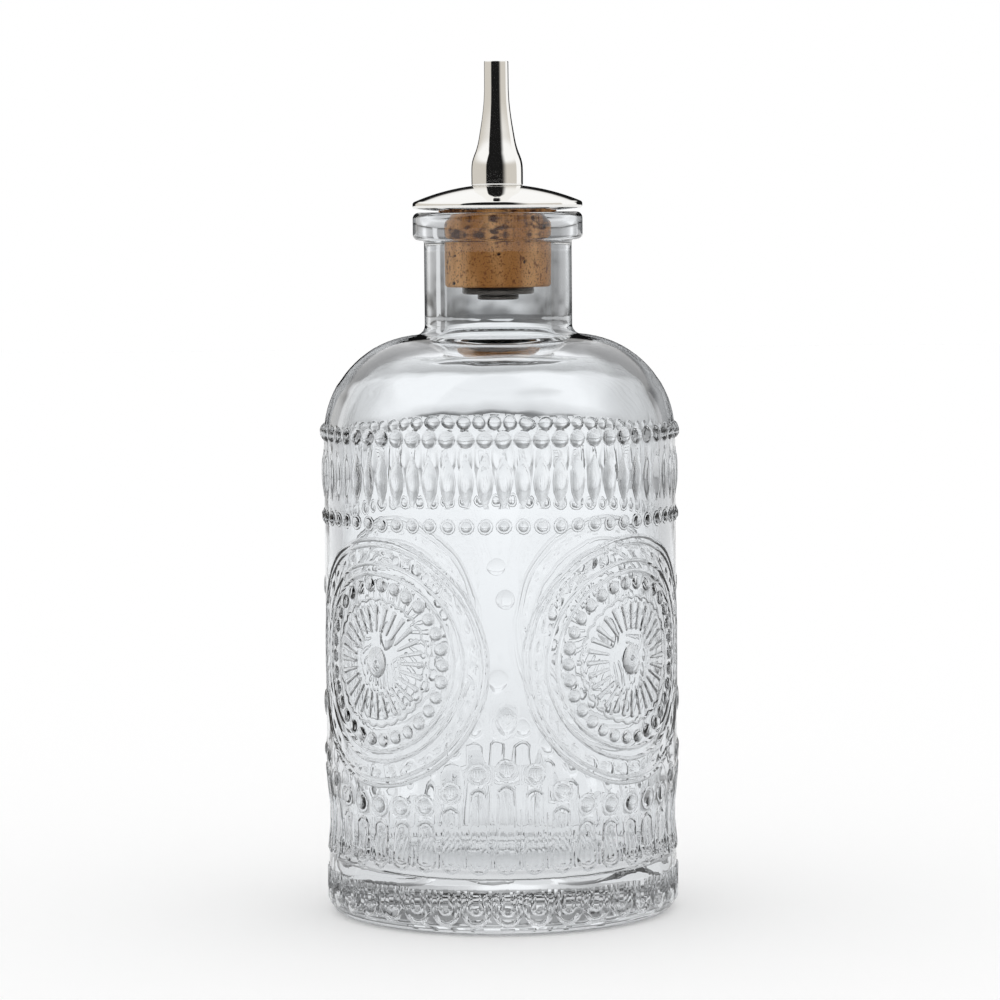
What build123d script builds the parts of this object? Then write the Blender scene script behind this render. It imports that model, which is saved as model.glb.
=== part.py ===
from build123d import *
from math import acos, cos, degrees, radians, sin, tan
import os

# Bitters bottle: a pressed glass bottle closed by a cork stopper with a metal dasher spout.
# Millimetres, +Z up, origin at the middle of the foot, all pieces turned about the Z axis.

# Glass body
body_radius = 35.0
body_wall = 3.3
floor_thickness = 8.6
punt_depth = 1.4
foot_ring_width = 4.0
heel_inset = 0.2
heel_height = 10.3
heel_corner_radius = 3.0
waist_depth = 0.7
waist_height = 19.2
waist_rounding = 8.0
panel_height = 65.5
inner_corner_radius = 6.0

# Glass shoulder, neck and lip
shoulder_radius = 20.0
neck_bore_radius = 10.7
neck_wall = 3.95
neck_length = 18.8
neck_blend_radius = 2.0
throat_blend_radius = 5.0
lip_overhang = 2.2
lip_height = 5.5
lip_rounding = 1.2
mouth_rounding = 1.0

# Two rings of beads round the top of the body, and the ring of almonds between them
ring_count = 60
row_margin = 2.3
top_bead_radius = 1.7
top_bead_rise = 1.0
top_bead_proud = 0.9
almond_half_width = 1.5
almond_half_length = 5.3
almond_flank_share = 0.35
almond_drop = 7.2
almond_proud = 0.9
low_bead_radius = 1.4
low_bead_drop = 15.6
low_bead_proud = 0.6

# Medallions, one in each quarter between the mould seams
medallion_drop = 42.5
boss_radius = 2.1
boss_proud = 1.0
petal_count = 28
petal_inner_radius = 5.4
petal_outer_radius = 11.2
petal_half_width = 0.85
petal_shoulder_share = 0.25
petal_proud = 0.45
medallion_bead_count = 30
medallion_bead_circle = 15.1
medallion_bead_radius = 1.3
medallion_bead_proud = 0.7
inner_ring_radius = 18.3
inner_ring_width = 2.4
rim_ring_radius = 23.6
rim_ring_width = 1.4
ring_proud = 0.35

# Bosses on the mould seams, and the garland of beads with a leaf below each
seam_boss_radius = 2.0
seam_boss_proud = 0.7
upper_boss_drop = 29.6
lower_boss_drop = 53.1
garland_bead_radius = 1.9
garland_bead_proud = 0.8
garland_height = 24.5
garland_lift = 8.0
garland_lift_shares = (1, 0.9, 0.44, 0.09, 0.01, 0)
leaf_half_width = 2.1
leaf_foot_height = 12.3
leaf_tip_gap = 0.6
leaf_proud = 0.35

# Scallops round the heel
scallop_count = 36
scallop_radius = 2.6
scallop_width = 1.0
scallop_middle_height = 6.2
scallop_top_height = 9.8
scallop_proud = 0.4

# How the relief is pressed: its depth into the wall, its sides in degrees, and its facets
relief_embed = 0.7
relief_backing = 0.2
relief_slope = 38
bead_sides = 6
scallop_facets = 4
quarters = 4

# Cork
cork_length = 15.0
cork_taper = 0.15
cork_rise = 0.3
cork_gap = 0.05
cork_edge = 0.4

# Dome cap
cap_radius = 16.85
cap_rim_height = 1.2
cap_under_rise = 0.5
cap_dome_rise = 3.2
cap_rim_rounding = 0.6

# Dasher spout, heights stacked from the cap up
skirt_height = 5.2
flare_height = 3.7
taper_height = 8.3
land_length = 7.4
skirt_foot_radius = 5.4
skirt_top_radius = 5.15
flare_top_radius = 3.62
tip_radius = 2.4
tip_bore_radius = 1.5
taper_rounding = 12.0
skirt_rounding = 0.6
skirt_foot_rounding = 0.5
spigot_radius = 4.2

# Stem through the cork, with its plug, washer and nut
stem_radius = 3.0
stem_bore_radius = 2.0
stem_engagement = 4.5
plug_length = 5.0
plug_flange_height = 0.8
plug_orifice_radius = 0.6
washer_radius = 7.15
washer_thickness = 1.5
nut_radius = 4.1
nut_height = 1.1
fit_gap = 0.05

# Heights and radii worked out from the sizes above
heel_radius = body_radius - heel_inset
waist_top = heel_height + waist_height
shoulder_base = waist_top + panel_height
shoulder_centre_radius = body_radius - shoulder_radius
floor_height = punt_depth + floor_thickness
inner_radius = body_radius - body_wall
neck_radius = neck_bore_radius + neck_wall
lip_radius = neck_radius + lip_overhang
mouth_radius = neck_bore_radius + mouth_rounding
cork_radius = neck_bore_radius - cork_gap
waist_radius = (heel_radius + body_radius) / 2 - waist_depth
skin_radius = waist_radius - relief_embed - relief_backing
stud_spread = relief_embed * tan(radians(relief_slope))
quarter_angle = 360 / quarters


def turned(section, angle=360):
    """Solid of revolution about Z from a section drawn as radius and height."""
    return revolve(Plane.XZ * section, Axis.Z, revolution_arc=angle)


def rounded(section, radius, *places):
    """Section with the corners at the given places rounded."""
    corners = [section.vertices().sort_by_distance((*place, 0))[0] for place in places]
    return fillet(corners, radius)


def face_within(*curves):
    """Section inside a closed run of curves."""
    return make_face([edge for curve in curves for edge in curve.edges()])


def shoulder_curves(arc_radius, throat_radius, blend_radius):
    """Round shoulder and the hollow curve that turns it up into the neck."""
    reach = arc_radius + blend_radius
    turn = degrees(acos((throat_radius + blend_radius - shoulder_centre_radius) / reach))
    blend_height = shoulder_base + reach * sin(radians(turn))
    shoulder = CenterArc((shoulder_centre_radius, shoulder_base), arc_radius, 0, turn)
    blend = CenterArc((throat_radius + blend_radius, blend_height), blend_radius, 180 + turn, -turn)
    return shoulder, blend


outer_shoulder, outer_blend = shoulder_curves(shoulder_radius, neck_radius, neck_blend_radius)
inner_shoulder, inner_blend = shoulder_curves(
    shoulder_radius - body_wall, neck_bore_radius, throat_blend_radius
)
lip_base = (outer_blend @ 1).Y + neck_length - neck_blend_radius
lip_top = lip_base + lip_height

cork_top = lip_top + cork_rise
cork_base = cork_top - cork_length
washer_base = cork_base - washer_thickness
nut_base = washer_base - nut_height
cap_rim_top = cork_top + cap_under_rise + cap_rim_height
spout_seat = cap_rim_top + cap_dome_rise
skirt_top = spout_seat + skirt_height
flare_top = skirt_top + flare_height
taper_top = flare_top + taper_height
tip_height = taper_top + land_length
stem_top = spout_seat + stem_engagement


def waist_curve(proud=0):
    """Hollow curve from the heel up to the body, or a curve that stands proud of it."""
    return ThreePointArc(
        (heel_radius + proud, heel_height),
        (waist_radius + proud, heel_height + waist_height / 2),
        (body_radius + proud, waist_top),
    )


def wall_radius(height):
    """Radius of the plain wall at a height of the heel, the waist or the body."""
    if height <= heel_height:
        return heel_radius
    if height >= waist_top:
        return body_radius
    level = Line((0, height), (2 * body_radius, height))
    return waist_curve().edge().intersect(level.edge()).vertices()[0].X


def bottle_section():
    """Section of the plain glass: foot, heel, waist, body, shoulder, neck and lip."""
    foot_inner = heel_radius - heel_corner_radius - foot_ring_width
    underside = TangentArc((0, punt_depth), (foot_inner, 0), tangent=(1, 0))
    heel = Polyline((foot_inner, 0), (heel_radius, 0), (heel_radius, heel_height))
    body = Line((body_radius, waist_top), outer_shoulder @ 0)
    lip = Polyline(
        outer_blend @ 1,
        (neck_radius, lip_base),
        (lip_radius, lip_base),
        (lip_radius, lip_top),
        (neck_bore_radius, lip_top),
        inner_blend @ 1,
    )
    inside = Polyline(
        inner_shoulder @ 0,
        (inner_radius, floor_height),
        (0, floor_height),
        (0, punt_depth),
    )
    outside = (underside, heel, waist_curve(), body, outer_shoulder, outer_blend)
    section = face_within(*outside, lip, inner_blend, inner_shoulder, inside)
    section = rounded(section, lip_rounding, (lip_radius, lip_base), (lip_radius, lip_top))
    section = rounded(section, mouth_rounding, (neck_bore_radius, lip_top))
    section = rounded(section, heel_corner_radius, (heel_radius, 0))
    section = rounded(section, waist_rounding, (heel_radius, heel_height), (body_radius, waist_top))
    return rounded(section, inner_corner_radius, (inner_radius, floor_height))


def wall_place(height, azimuth=0):
    """Place on the wall at a height and an azimuth, pressed in by the embedding depth."""
    origin = (wall_radius(height) - relief_embed, 0, height)
    return Rot(Z=azimuth) * Plane(origin=origin, x_dir=(0, 1, 0), z_dir=(1, 0, 0)).location


def stud(outline, proud):
    """Raised shape with sloping sides on an outline drawn at its foot in the wall."""
    return extrude(outline, amount=relief_embed + proud, taper=relief_slope)


def bead(radius, proud):
    """Faceted bead of a radius at the wall."""
    return stud(RegularPolygon(radius + stud_spread, bead_sides), proud)


def ring_of(shape, height, count):
    """Copies of a shape round one quarter of the wall at a height."""
    return [wall_place(height, 360 / count * i) * shape for i in range(count // quarters)]


def pressed(outline, *face_curves):
    """Shape with an outline seen from the front, whose face is turned from proud curves."""
    start = face_curves[0] @ 0
    end = face_curves[-1] @ 1
    back_radius = waist_radius - relief_embed
    back = Polyline(end, (back_radius, end.Y), (back_radius, start.Y), start)
    prism = extrude(Plane.YZ * outline, amount=2 * body_radius, dir=(1, 0, 0))
    return prism & turned(face_within(*face_curves, back))


def bead_rows():
    """Beads and almonds in one quarter of the rings round the top of the body."""
    width = almond_half_width + stud_spread
    flank = almond_half_length * almond_flank_share
    half = [(0, almond_half_length), (-width, flank), (-width, -flank)]
    almond = Polygon(*half, *[(-x, -y) for x, y in half], align=None)
    return [
        *ring_of(bead(top_bead_radius, top_bead_proud), shoulder_base + top_bead_rise, ring_count),
        *ring_of(stud(almond, almond_proud), shoulder_base - almond_drop, ring_count),
        *ring_of(bead(low_bead_radius, low_bead_proud), shoulder_base - low_bead_drop, ring_count),
    ]


def medallion_circle(shape, radius, count):
    """Copies of a shape set outwards in a circle on the medallion, wrapped round the wall."""
    copies = []
    for i in range(count):
        turn = 360 / count * i
        azimuth = quarter_angle / 2 + degrees(radius * cos(radians(turn)) / body_radius)
        height = shoulder_base - medallion_drop + radius * sin(radians(turn))
        copies.append(wall_place(height, azimuth) * Rot(Z=turn) * shape)
    return copies


def medallion_ring(radius, width):
    """Ring of the medallion, as wide along the round wall as it is high."""
    inner, outer = [
        Ellipse(body_radius * sin(edge / body_radius), edge)
        for edge in (radius - width / 2, radius + width / 2)
    ]
    height = shoulder_base - medallion_drop
    face_radius = body_radius + ring_proud
    face = Line((face_radius, height - radius - width), (face_radius, height + radius + width))
    return Rot(Z=quarter_angle / 2) * pressed(Pos(0, height) * (outer - inner), face)


def medallion():
    """Boss, petals, beads and rings of one medallion."""
    length = petal_outer_radius - petal_inner_radius
    half_width = petal_half_width + stud_spread
    widest = -length * petal_shoulder_share
    petal = Polygon((-length, 0), (widest, -half_width), (0, 0), (widest, half_width), align=None)
    small_bead = bead(medallion_bead_radius, medallion_bead_proud)
    return [
        *medallion_circle(bead(boss_radius, boss_proud), 0, 1),
        *medallion_circle(stud(petal, petal_proud), petal_outer_radius, petal_count),
        *medallion_circle(small_bead, medallion_bead_circle, medallion_bead_count),
        medallion_ring(inner_ring_radius, inner_ring_width),
        medallion_ring(rim_ring_radius, rim_ring_width),
    ]


def garland():
    """Seam bosses and garland beads of one quarter, with a leaf below each bead."""
    boss = bead(seam_boss_radius, seam_boss_proud)
    hung = bead(garland_bead_radius, garland_bead_proud)
    shapes = [wall_place(shoulder_base - drop) * boss for drop in (upper_boss_drop, lower_boss_drop)]
    face_radius = body_radius + leaf_proud
    upper_face = Line((face_radius, waist_top), (face_radius, shoulder_base))
    count = 2 * (len(garland_lift_shares) - 1)
    for i in range(count):
        azimuth = quarter_angle / count * i
        height = garland_height + garland_lift * garland_lift_shares[min(i, count - i)]
        tip = height - garland_bead_radius - leaf_tip_gap
        leaf = Polygon(
            (0, tip),
            (-leaf_half_width, tip - leaf_half_width),
            (-leaf_half_width, leaf_foot_height),
            (leaf_half_width, leaf_foot_height),
            (leaf_half_width, tip - leaf_half_width),
            align=None,
        )
        shapes.append(wall_place(height, azimuth) * hung)
        shapes.append(Rot(Z=azimuth) * pressed(leaf, waist_curve(leaf_proud), upper_face))
    return shapes


def scallops():
    """Open U shapes of one quarter of the heel."""
    turns = [180 / scallop_facets * i - 180 for i in range(scallop_facets + 1)]
    arch = [(cos(radians(turn)), sin(radians(turn))) for turn in turns]
    outer = [(scallop_radius * x, scallop_radius * y) for x, y in arch]
    inner_scallop_radius = scallop_radius - scallop_width
    inner = [(inner_scallop_radius * x, inner_scallop_radius * y) for x, y in reversed(arch)]
    rise = scallop_top_height - scallop_middle_height
    outline = Polygon(
        *outer,
        (scallop_radius, rise),
        (inner_scallop_radius, rise),
        *inner,
        (-inner_scallop_radius, rise),
        (-scallop_radius, rise),
        align=None,
    )
    shape = extrude(outline, amount=relief_embed + scallop_proud)
    return ring_of(shape, scallop_middle_height, scallop_count)


def skin_zone(foot, top):
    """Part of the section plane that holds the outer skin of the wall between two heights."""
    return Pos(skin_radius, foot) * Rectangle(body_radius, top - foot, align=Align.MIN)


def glass_bottle():
    """Thick turned glass, whose outer skin is made in bands of four quarters with relief."""
    section = bottle_section()
    foot = heel_corner_radius / 2
    heel_top = (scallop_top_height + leaf_foot_height) / 2
    row_foot = shoulder_base - low_bead_drop - row_margin
    row_top = shoulder_base + top_bead_rise + row_margin
    garland_pitch = quarter_angle / (2 * (len(garland_lift_shares) - 1))
    bands = (
        (foot, heel_top, 360 / scallop_count, scallops()),
        (heel_top, row_foot, garland_pitch, garland() + medallion()),
        (row_foot, row_top, 360 / ring_count, bead_rows()),
    )
    skins = []
    for base, top, pitch, shapes in bands:
        skin = turned(section & skin_zone(base, top), quarter_angle)
        quarter = (Rot(Z=-pitch / 2) * skin).fuse(*shapes)
        skins += [Rot(Z=quarter_angle * i) * quarter for i in range(quarters)]
    return turned(section - skin_zone(foot, row_top)).fuse(*skins)


def cork_stopper():
    """Cork that fills the neck and widens over the rounded mouth, with a hole for the stem."""
    hole_radius = stem_radius + fit_gap
    head_curve = CenterArc(
        (mouth_radius, lip_top - mouth_rounding), mouth_rounding + cork_gap, 90, 90
    )
    rest = Polyline(
        head_curve @ 1,
        (cork_radius - cork_taper, cork_base + cork_edge),
        (cork_radius - cork_taper - cork_edge, cork_base),
        (hole_radius, cork_base),
        (hole_radius, cork_top),
        (mouth_radius, cork_top),
        head_curve @ 0,
    )
    return turned(face_within(head_curve, rest))


def dome_cap():
    """Solid disc with a domed top and a rounded rim, bored for the spout's spigot."""
    hole_radius = spigot_radius + fit_gap
    rim_top = (cap_radius, cap_rim_top)
    rim_foot = (cap_radius, cork_top + cap_under_rise)
    seat_edge = (skirt_foot_radius, spout_seat)
    dome_centre = (
        skirt_foot_radius**2 - cap_radius**2 + spout_seat**2 - cap_rim_top**2
    ) / (2 * cap_dome_rise)
    dome_slope = (spout_seat - dome_centre, -skirt_foot_radius)
    dome = TangentArc(seat_edge, rim_top, tangent=dome_slope)
    rest = Polyline(
        rim_top,
        rim_foot,
        (mouth_radius, cork_top),
        (hole_radius, cork_top),
        (hole_radius, spout_seat),
        seat_edge,
    )
    rim_rounding = min(cap_rim_rounding, cap_rim_height / 2)
    section = rounded(face_within(dome, rest), rim_rounding, rim_top, rim_foot)
    return turned(section)


def dasher_spout():
    """Tapered spout with a round skirt, a spigot through the cap and a socket for the stem."""
    socket_radius = stem_radius + fit_gap
    plug_top = stem_top + plug_flange_height
    taper_slope = (flare_top_radius - tip_radius, flare_top - taper_top)
    flare = TangentArc(
        (flare_top_radius, flare_top), (skirt_top_radius, skirt_top), tangent=taper_slope
    )
    rest = Polyline(
        flare @ 1,
        (skirt_foot_radius, spout_seat),
        (spigot_radius, spout_seat),
        (spigot_radius, cork_top),
        (socket_radius, cork_top),
        (socket_radius, plug_top),
        (tip_bore_radius, flare_top),
        (tip_bore_radius, tip_height),
        (tip_radius, tip_height),
        (tip_radius, taper_top),
        flare @ 0,
    )
    section = rounded(face_within(flare, rest), taper_rounding, (tip_radius, taper_top))
    section = rounded(section, skirt_rounding, (skirt_top_radius, skirt_top))
    section = rounded(section, skirt_foot_rounding, (skirt_foot_radius, spout_seat))
    return turned(section)


def stem_tube():
    """Tube from the spout down through the cork to the nut."""
    wall = make_face(
        Polyline(
            (stem_bore_radius, nut_base),
            (stem_radius, nut_base),
            (stem_radius, stem_top),
            (stem_bore_radius, stem_top),
            close=True,
        )
    )
    return turned(wall)


def orifice_plug():
    """Flanged plug in the top of the stem, with the small hole that meters the dashes."""
    plug_top = stem_top + plug_flange_height
    body_radius_in_stem = stem_bore_radius - fit_gap
    section = make_face(
        Polyline(
            (plug_orifice_radius, plug_top - plug_length),
            (body_radius_in_stem, plug_top - plug_length),
            (body_radius_in_stem, stem_top),
            (stem_radius - fit_gap, stem_top),
            (stem_radius - fit_gap, plug_top),
            (plug_orifice_radius, plug_top),
            close=True,
        )
    )
    return turned(section)


def ring(outer_radius, base, top):
    """Flat ring that fits round the stem."""
    wall = make_face(
        Polyline(
            (stem_radius + fit_gap, base),
            (outer_radius, base),
            (outer_radius, top),
            (stem_radius + fit_gap, top),
            close=True,
        )
    )
    return turned(wall)


nodes = {
    "glass_bottle": glass_bottle(),
    "cork_stopper": cork_stopper(),
    "dome_cap": dome_cap(),
    "dasher_spout": dasher_spout(),
    "stem_tube": stem_tube(),
    "orifice_plug": orifice_plug(),
    "retaining_washer": ring(washer_radius, washer_base, cork_base),
    "stem_nut": ring(nut_radius, nut_base, washer_base),
}

os.makedirs("parts", exist_ok=True)
for name, shape in nodes.items():
    export_step(shape, f"parts/{name}.step")
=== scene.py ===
"""Studio scene of a bitters bottle: pressed relief glass under a cork and a polished dasher top."""
import logging
import math
import random
from collections.abc import Callable
from dataclasses import dataclass, field
from enum import Enum

import bmesh
import bpy
from mathutils import Matrix, Vector, noise
from mathutils.geometry import interpolate_bezier


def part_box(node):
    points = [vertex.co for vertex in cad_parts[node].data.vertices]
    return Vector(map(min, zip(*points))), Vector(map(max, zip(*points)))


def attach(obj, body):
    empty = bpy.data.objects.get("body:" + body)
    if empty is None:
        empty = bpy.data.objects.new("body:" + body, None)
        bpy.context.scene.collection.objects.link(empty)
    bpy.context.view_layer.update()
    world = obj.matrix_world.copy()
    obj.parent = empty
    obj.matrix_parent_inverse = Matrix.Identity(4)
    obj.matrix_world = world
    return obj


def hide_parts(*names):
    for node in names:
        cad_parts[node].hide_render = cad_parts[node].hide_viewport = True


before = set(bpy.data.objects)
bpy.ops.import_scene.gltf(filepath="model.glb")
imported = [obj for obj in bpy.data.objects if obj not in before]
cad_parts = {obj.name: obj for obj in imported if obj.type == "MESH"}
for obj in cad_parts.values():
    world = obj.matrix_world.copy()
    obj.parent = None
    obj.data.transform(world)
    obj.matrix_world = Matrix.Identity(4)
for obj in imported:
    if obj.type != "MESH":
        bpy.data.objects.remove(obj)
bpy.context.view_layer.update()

MM = 0.001
FULL_TURN = 2 * math.pi

log = logging.getLogger("bitters_bottle")

Point = tuple[float, float]
Colour = tuple[float, float, float, float]


class Body(Enum):
    """The rigid bodies that pieces ride on."""

    BOTTLE = "bottle"
    STOPPER = "stopper"


class Slot(Enum):
    """Names of the record's material slots for new pieces."""

    GLASS = "clear_glass"
    CORK = "cork"
    POLISHED = "polished_metal"
    STEEL = "plain_steel"


def heights_of(node: str) -> Point:
    """Lowest and highest point of a CAD node at rest, in metres."""
    low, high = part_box(node)
    return low[2], high[2]


def arc(centre: Point, radius: float, start: float, end: float, steps: int) -> list[Point]:
    """Points of an arc in a half section.

    Args:
        centre: Radius and height of the arc's centre.
        radius: The arc's radius.
        start: First angle in degrees, from the outward direction.
        end: Last angle in degrees.
        steps: Number of straight steps.

    Returns:
        The points, both ends included.
    """
    angles = [math.radians(start + (end - start) * i / steps) for i in range(steps + 1)]
    return [(centre[0] + radius * math.cos(a), centre[1] + radius * math.sin(a)) for a in angles]


def run(start: Point, end: Point, steps: int) -> list[Point]:
    """Points of a straight run, without its ends.

    Args:
        start: Where the run starts.
        end: Where it ends.
        steps: Number of steps.

    Returns:
        The points between the two ends.
    """
    first, last = Vector(start), Vector(end)
    return [tuple(first.lerp(last, i / steps)) for i in range(1, steps)]


def bowed(start: Point, end: Point, depth: float, steps: int) -> list[Point]:
    """Points of a shallow bow between two points, hollow towards the axis.

    Args:
        start: Where the bow starts.
        end: Where it ends.
        depth: Depth of its middle below the straight line.
        steps: Number of straight steps.

    Returns:
        The points, both ends included.
    """
    points = []
    for i in range(steps + 1):
        t = i / steps
        out = start[0] + (end[0] - start[0]) * t - depth * math.sin(math.pi * t) ** 2
        points.append((out, start[1] + (end[1] - start[1]) * t))
    return points


def flowing(points: list[Point], steps: int) -> list[Point]:
    """Smooth line through a few given points.

    Args:
        points: The points to go through, in order.
        steps: Number of straight steps from each point to the next.

    Returns:
        The points of the line, both ends included.
    """
    spots = [Vector(p) for p in (points[0], *points, points[-1])]
    line = []
    for before, start, end, after in zip(spots, spots[1:], spots[2:], spots[3:]):
        lean_in, lean_out = (end - before) / 6, (after - start) / 6
        curve = interpolate_bezier(start, start + lean_in, end - lean_out, end, steps + 1)
        line += [tuple(p) for p in curve[:-1]]
    return [*line, tuple(points[-1])]


def rounded(corner: Point, before: Point, after: Point, radius: float, steps: int = 5) -> list[Point]:
    """Points that round one corner of a half section.

    Args:
        corner: The sharp corner.
        before: A point on the side that comes in.
        after: A point on the side that goes out.
        radius: Radius of the rounding.
        steps: Number of straight steps.

    Returns:
        The points of the rounding, from the side coming in to the side going out.
    """
    tip = Vector(corner)
    back = (Vector(before) - tip).normalized()
    on = (Vector(after) - tip).normalized()
    half = back.angle(on) / 2
    centre = tip + (back + on).normalized() * radius / math.sin(half)
    reach = radius / math.tan(half)
    first = tip + back * reach - centre
    last = tip + on * reach - centre
    sweep = math.pi - 2 * half
    points = []
    for i in range(steps + 1):
        ahead = sweep * i / steps
        mixed = (first * math.sin(sweep - ahead) + last * math.sin(ahead)) / math.sin(sweep)
        points.append(tuple(centre + mixed))
    return points


def softened(corners: list[tuple[float, float, float]], steps: int) -> list[Point]:
    """Round every corner of a closed half section by its own radius.

    Args:
        corners: Radius, height and rounding of each corner, in order round the section.
        steps: Number of steps in each rounding.

    Returns:
        The points of the softened section.
    """
    points: list[Point] = []
    for i, (r, z, rounding) in enumerate(corners):
        if rounding:
            before = corners[i - 1][:2]
            after = corners[(i + 1) % len(corners)][:2]
            points += rounded((r, z), before, after, rounding, steps)
        else:
            points.append((r, z))
    return points


def spun(section: list[Point], steps: int) -> bmesh.types.BMesh:
    """Turn a closed half section about the Z axis.

    Args:
        section: Corners as radius and height, in order round the section.
        steps: Number of steps in the full turn.

    Returns:
        A closed mesh with its faces outwards.
    """
    bm = bmesh.new()
    verts = [bm.verts.new((r, 0, z)) for r, z in section]
    pairs = zip(verts, verts[1:] + verts[:1])
    edges = [bm.edges.new(pair) for pair in pairs if pair[0].co.x + pair[1].co.x > 0]
    bmesh.ops.spin(
        bm,
        geom=verts + edges,
        cent=(0, 0, 0),
        axis=(0, 0, 1),
        dvec=(0, 0, 0),
        angle=FULL_TURN,
        steps=steps,
        use_merge=True,
        use_duplicate=False,
    )
    bmesh.ops.remove_doubles(bm, verts=bm.verts, dist=1e-7)
    bmesh.ops.recalc_face_normals(bm, faces=bm.faces)
    return bm


def object_from(bm: bmesh.types.BMesh, name: str) -> bpy.types.Object:
    """Make a linked object from a mesh in work, which is freed."""
    mesh = bpy.data.meshes.new(name)
    bm.to_mesh(mesh)
    bm.free()
    piece = bpy.data.objects.new(name, mesh)
    bpy.context.scene.collection.objects.link(piece)
    return piece


def smooth(piece: bpy.types.Object, sharp_angle: float) -> None:
    """Shade a piece smooth, but keep edges sharp that turn more than an angle in degrees."""
    piece.data.shade_smooth()
    piece.data.set_sharp_from_angle(angle=math.radians(sharp_angle))


def settle(
    piece: bpy.types.Object, material: bpy.types.Material, body: Body, slot: Slot, *nodes: str
) -> None:
    """Dress a new piece, give it its body and hide the CAD nodes that it stands for.

    Args:
        piece: The finished piece.
        material: Its finish.
        body: The body that it rides on.
        slot: The record's slot for its finish; not used.
        nodes: The CAD nodes that it replaces.
    """
    dress(piece, material)
    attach(piece, body.value)
    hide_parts(*nodes)
    log.info("%s: %d faces, on %s", piece.name, len(piece.data.polygons), body.value)


def dress(piece: bpy.types.Object, material: bpy.types.Material) -> None:
    """Give a piece one material."""
    piece.data.materials.clear()
    piece.data.materials.append(material)


class Graph:
    """Helper that builds a node tree."""

    def __init__(self, tree: bpy.types.NodeTree) -> None:
        """Take a node tree to build on."""
        self.tree = tree

    def add(self, kind: str, **values: object) -> bpy.types.Node:
        """Add a node and set it.

        Args:
            kind: The node's type name.
            values: Properties by name, or inputs by name with underscores for spaces. A socket is linked.

        Returns:
            The new node.
        """
        node = self.tree.nodes.new(kind)
        for name, value in values.items():
            if hasattr(node, name):
                setattr(node, name, value)
            else:
                self.feed(node.inputs[name.replace("_", " ")], value)
        return node

    def feed(self, socket: bpy.types.NodeSocket, value: object) -> None:
        """Link a socket to an input, or set the input's value."""
        if isinstance(value, bpy.types.NodeSocket):
            self.tree.links.new(value, socket)
        else:
            socket.default_value = value

    def math(self, operation: str, *values: object) -> bpy.types.NodeSocket:
        """Work out one sum.

        Args:
            operation: The Math node's operation.
            values: Numbers or sockets.

        Returns:
            The result's socket.
        """
        node = self.tree.nodes.new("ShaderNodeMath")
        node.operation = operation
        for socket, value in zip(node.inputs, values):
            self.feed(socket, value)
        return node.outputs[0]

    def fade(self, value: bpy.types.NodeSocket, start: float, end: float) -> bpy.types.NodeSocket:
        """Soft step from 0 at start to 1 at end."""
        node = self.add("ShaderNodeMapRange", interpolation_type="SMOOTHSTEP", From_Min=start, From_Max=end)
        self.feed(node.inputs["Value"], value)
        return node.outputs["Result"]

    def between(
        self, value: bpy.types.NodeSocket, start: float, end: float, soft: float
    ) -> bpy.types.NodeSocket:
        """1 between two values and 0 beyond them, with soft edges."""
        rise = self.fade(value, start - soft, start + soft)
        return self.math("MULTIPLY", rise, self.fade(value, end + soft, end - soft))

    def levels(self, value: bpy.types.NodeSocket, stops: tuple[Point, ...]) -> bpy.types.NodeSocket:
        """Grey level that runs straight from stop to stop.

        Args:
            value: The value to look up.
            stops: Value and level of each stop, in rising order.

        Returns:
            The level as a colour's socket.
        """
        first, last = stops[0][0], stops[-1][0]
        share = self.add("ShaderNodeMapRange", Value=value, From_Min=first, From_Max=last)
        ramp = self.add("ShaderNodeValToRGB", Fac=share.outputs["Result"])
        for i, (place, level) in enumerate(stops):
            spot = (place - first) / (last - first)
            element = ramp.color_ramp.elements[i] if i < 2 else ramp.color_ramp.elements.new(spot)
            element.position = spot
            element.color = (level, level, level, 1)
        return ramp.outputs["Color"]

    def mix(self, share: object, first: object, second: object) -> bpy.types.NodeSocket:
        """Mix two colours.

        Args:
            share: Share of the second colour.
            first: Colour or socket.
            second: Colour or socket.

        Returns:
            The mixed colour's socket.
        """
        node = self.tree.nodes.new("ShaderNodeMix")
        node.data_type = "RGBA"
        self.feed(node.inputs["Factor"], share)
        self.feed(node.inputs[6], first)
        self.feed(node.inputs[7], second)
        return node.outputs[2]


class Surface(Graph):
    """Node tree of one material round its Principled shader."""

    def __init__(self, name: str) -> None:
        """Start a material of the given name."""
        self.material = bpy.data.materials.new(name)
        self.material.use_nodes = True
        super().__init__(self.material.node_tree)
        self.shader = self.tree.nodes["Principled BSDF"]

    def set(self, **values: object) -> None:
        """Set or link inputs of the shader, named with underscores for spaces."""
        for name, value in values.items():
            self.feed(self.shader.inputs[name.replace("_", " ")], value)

    def place(self, scale: tuple[float, float, float] = (1, 1, 1)) -> bpy.types.NodeSocket:
        """Object coordinates, stretched by a scale along each axis."""
        coordinates = self.tree.nodes.new("ShaderNodeTexCoord")
        mapping = self.add("ShaderNodeMapping", Vector=coordinates.outputs["Object"], Scale=scale)
        return mapping.outputs["Vector"]

    def noise(self, place: bpy.types.NodeSocket, scale: float, detail: float = 3) -> bpy.types.NodeSocket:
        """Noise between 0 and 1 at a place, with a scale in features per metre."""
        texture = self.add("ShaderNodeTexNoise", Vector=place, Scale=scale, Detail=detail)
        return texture.outputs["Fac"]

    def bump(self, height: bpy.types.NodeSocket, strength: float, distance: float) -> None:
        """Give the surface a fine relief.

        Args:
            height: Height between 0 and 1.
            strength: Strength of the relief.
            distance: Height that 1 stands for, in metres.
        """
        bump = self.add("ShaderNodeBump", Height=height, Strength=strength, Distance=distance)
        self.set(Normal=bump.outputs["Normal"])


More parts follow.
